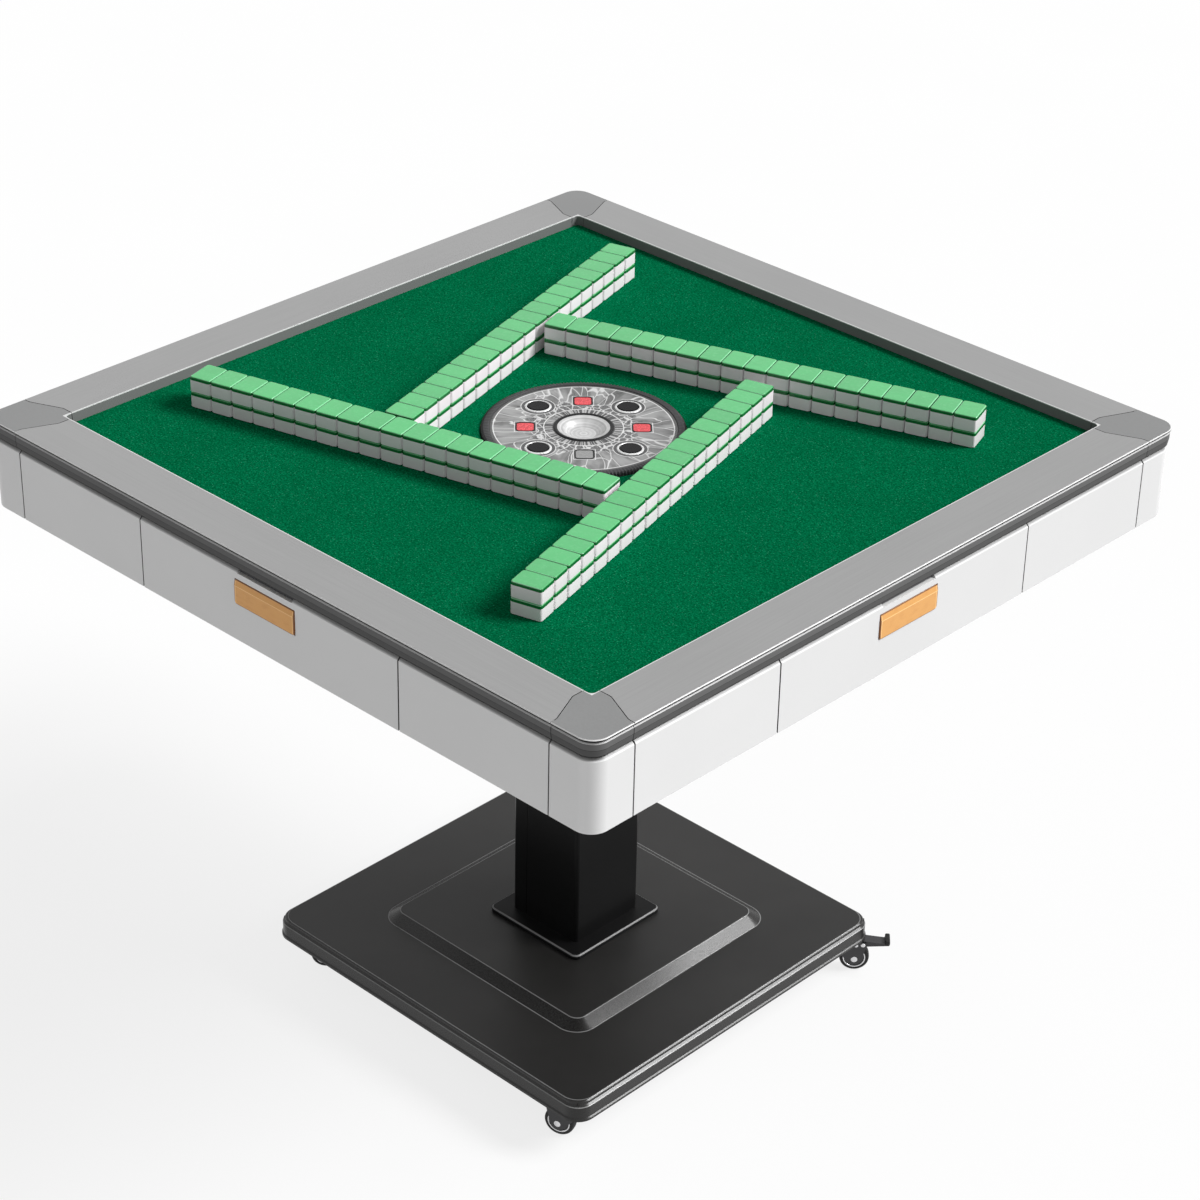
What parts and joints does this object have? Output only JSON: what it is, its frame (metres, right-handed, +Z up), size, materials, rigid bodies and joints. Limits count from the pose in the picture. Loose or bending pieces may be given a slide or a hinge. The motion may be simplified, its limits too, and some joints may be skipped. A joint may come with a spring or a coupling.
{
  "type": "mahjong table",
  "caption": "Square automatic mahjong table on a column with a caster base: cloth top with a grey rail, lifting control disc, side drawers and tile walls.",
  "frame": {"origin": "on the floor under the middle of the table", "axes": "+Z up; -Y out of the front side, +X out of the right side"},
  "size_m": [0.97, 0.97, 0.8016],
  "materials": {
    "rail": "brushed, anodised grey",
    "corner_cap": "satin grey moulding",
    "board": "raw board",
    "cloth": "short woven nap",
    "skirt": "satin white moulding",
    "drawer": "satin white moulding",
    "handle": "tinted amber",
    "chassis": "dark powder coat",
    "disc_ring": "black, ribbed",
    "disc_plate": "printed grey",
    "bowl": "spun silver",
    "lamp": "clear tinted red",
    "steel": "plated",
    "button": "satin black",
    "moulding": "moulded",
    "black_plastic": "satin black",
    "stand": "satin black powder coat",
    "tyre": "moulded tread",
    "tile": "polished, green backs"
  },
  "bodies": {
    "table": {"rail_front": "rail", "rail_right": "rail", "rail_back": "rail", "rail_left": "rail", "corner_cap_front_right": "corner_cap", "corner_cap_back_right": "corner_cap", "corner_cap_back_left": "corner_cap", "corner_cap_front_left": "corner_cap", "deck_board": "board", "playing_cloth": "cloth", "skirt_corner_front_right": "skirt", "skirt_corner_back_right": "skirt", "skirt_corner_back_left": "skirt", "skirt_corner_front_left": "skirt", "skirt_panels_front": "skirt", "skirt_panels_right": "skirt", "skirt_panels_back": "skirt", "skirt_panels_left": "skirt", "drawer_runners": "chassis", "chassis_frame": "chassis", "bottom_pan": "chassis", "drum_motor": "chassis", "control_box": "chassis", "lift_guide": "moulding", "mains_inlet": "black_plastic", "column": "stand", "base_plate": "stand"},
    "front_drawer": {"drawer_front": "drawer", "drawer_handle_front": "handle"},
    "right_drawer": {"drawer_right": "drawer", "drawer_handle_right": "handle"},
    "back_drawer": {"drawer_back": "drawer", "drawer_handle_back": "handle"},
    "left_drawer": {"drawer_left": "drawer", "drawer_handle_left": "handle"},
    "control_disc": {"disc_ring": "disc_ring", "disc_plate": "disc_plate", "dice_bowl": "bowl", "seat_lamps": "lamp", "lift_post": "steel"},
    "front_button": {"button_front": "button"},
    "right_button": {"button_right": "button"},
    "back_button": {"button_back": "button"},
    "left_button": {"button_left": "button"},
    "drum": {"shuffle_drum": "moulding"},
    "pinion": {"drum_pinion": "moulding"},
    "front_right_caster": {"caster_fork_front_right": "steel"},
    "front_right_wheel": {"caster_wheel_front_right": "tyre"},
    "back_right_caster": {"caster_fork_back_right": "steel"},
    "back_right_wheel": {"caster_wheel_back_right": "tyre"},
    "back_right_brake": {"brake_lever_back_right": "black_plastic"},
    "back_left_caster": {"caster_fork_back_left": "steel"},
    "back_left_wheel": {"caster_wheel_back_left": "tyre"},
    "front_left_caster": {"caster_fork_front_left": "steel"},
    "front_left_wheel": {"caster_wheel_front_left": "tyre"},
    "front_left_brake": {"brake_lever_front_left": "black_plastic"},
    "front_tiles": {"tile_wall_front": "tile"},
    "right_tiles": {"tile_wall_right": "tile"},
    "back_tiles": {"tile_wall_back": "tile"},
    "left_tiles": {"tile_wall_left": "tile"}
  },
  "joints": [
    {"name": "front_drawer_slide", "type": "slide", "parent": "table", "child": "front_drawer", "axis": [0, -1, 0], "range_m": [0, 0.15]},
    {"name": "right_drawer_slide", "type": "slide", "parent": "table", "child": "right_drawer", "axis": [1, 0, 0], "range_m": [0, 0.15]},
    {"name": "back_drawer_slide", "type": "slide", "parent": "table", "child": "back_drawer", "axis": [0, 1, 0], "range_m": [0, 0.15]},
    {"name": "left_drawer_slide", "type": "slide", "parent": "table", "child": "left_drawer", "axis": [-1, 0, 0], "range_m": [0, 0.15]},
    {"name": "disc_lift", "type": "slide", "parent": "table", "child": "control_disc", "axis": [0, 0, 1], "range_m": [0, 0.05]},
    {"name": "front_button_press", "type": "slide", "parent": "control_disc", "child": "front_button", "axis": [0, 0, -1], "range_m": [0, 0.0012], "stiffness_N_per_m": 400, "springref_m": -0.001},
    {"name": "right_button_press", "type": "slide", "parent": "control_disc", "child": "right_button", "axis": [0, 0, -1], "range_m": [0, 0.0012], "stiffness_N_per_m": 400, "springref_m": -0.001},
    {"name": "back_button_press", "type": "slide", "parent": "control_disc", "child": "back_button", "axis": [0, 0, -1], "range_m": [0, 0.0012], "stiffness_N_per_m": 400, "springref_m": -0.001},
    {"name": "left_button_press", "type": "slide", "parent": "control_disc", "child": "left_button", "axis": [0, 0, -1], "range_m": [0, 0.0012], "stiffness_N_per_m": 400, "springref_m": -0.001},
    {"name": "drum_spin", "type": "hinge", "parent": "table", "child": "drum", "pos_m": [0, 0, 0.692], "axis": [0, 0, 1], "continuous": true},
    {"name": "pinion_spin", "type": "hinge", "parent": "table", "child": "pinion", "pos_m": [0.18031, 0.18031, 0.696], "axis": [0, 0, 1], "continuous": true},
    {"name": "front_right_swivel", "type": "hinge", "parent": "table", "child": "front_right_caster", "pos_m": [0.2366, -0.2366, 0.05], "axis": [0, 0, 1], "continuous": true},
    {"name": "front_right_roll", "type": "hinge", "parent": "front_right_caster", "child": "front_right_wheel", "pos_m": [0.21687, -0.24378, 0.019], "axis": [0.342, -0.9397, 0], "continuous": true},
    {"name": "back_right_swivel", "type": "hinge", "parent": "table", "child": "back_right_caster", "pos_m": [0.2366, 0.2366, 0.05], "axis": [0, 0, 1], "continuous": true},
    {"name": "back_right_roll", "type": "hinge", "parent": "back_right_caster", "child": "back_right_wheel", "pos_m": [0.25245, 0.25038, 0.019], "axis": [-0.6561, 0.7547, 0], "continuous": true},
    {"name": "back_right_brake_tip", "type": "hinge", "parent": "back_right_caster", "child": "back_right_brake", "pos_m": [0.26, 0.25694, 0.0415], "axis": [-0.6561, 0.7547, 0], "range_deg": [0, 18]},
    {"name": "back_left_swivel", "type": "hinge", "parent": "table", "child": "back_left_caster", "pos_m": [-0.2366, 0.2366, 0.05], "axis": [0, 0, 1], "continuous": true},
    {"name": "back_left_roll", "type": "hinge", "parent": "back_left_caster", "child": "back_left_wheel", "pos_m": [-0.22175, 0.22175, 0.019], "axis": [0.7071, 0.7071, 0], "continuous": true},
    {"name": "front_left_swivel", "type": "hinge", "parent": "table", "child": "front_left_caster", "pos_m": [-0.2366, -0.2366, 0.05], "axis": [0, 0, 1], "continuous": true},
    {"name": "front_left_roll", "type": "hinge", "parent": "front_left_caster", "child": "front_left_wheel", "pos_m": [-0.22175, -0.22175, 0.019], "axis": [-0.7071, 0.7071, 0], "continuous": true},
    {"name": "front_left_brake_tip", "type": "hinge", "parent": "front_left_caster", "child": "front_left_brake", "pos_m": [-0.21468, -0.21468, 0.0415], "axis": [-0.7071, 0.7071, 0], "range_deg": [0, 18]},
    {"name": "front_tiles_lift", "type": "slide", "parent": "table", "child": "front_tiles", "axis": [0, 0, 1], "range_m": [0, 0.06]},
    {"name": "right_tiles_lift", "type": "slide", "parent": "table", "child": "right_tiles", "axis": [0, 0, 1], "range_m": [0, 0.06]},
    {"name": "back_tiles_lift", "type": "slide", "parent": "table", "child": "back_tiles", "axis": [0, 0, 1], "range_m": [0, 0.06]},
    {"name": "left_tiles_lift", "type": "slide", "parent": "table", "child": "left_tiles", "axis": [0, 0, 1], "range_m": [0, 0.06]}
  ],
  "couplings": [
    {"joint": "pinion_spin", "follows": "drum_spin", "ratio": -7.5}
  ]
}
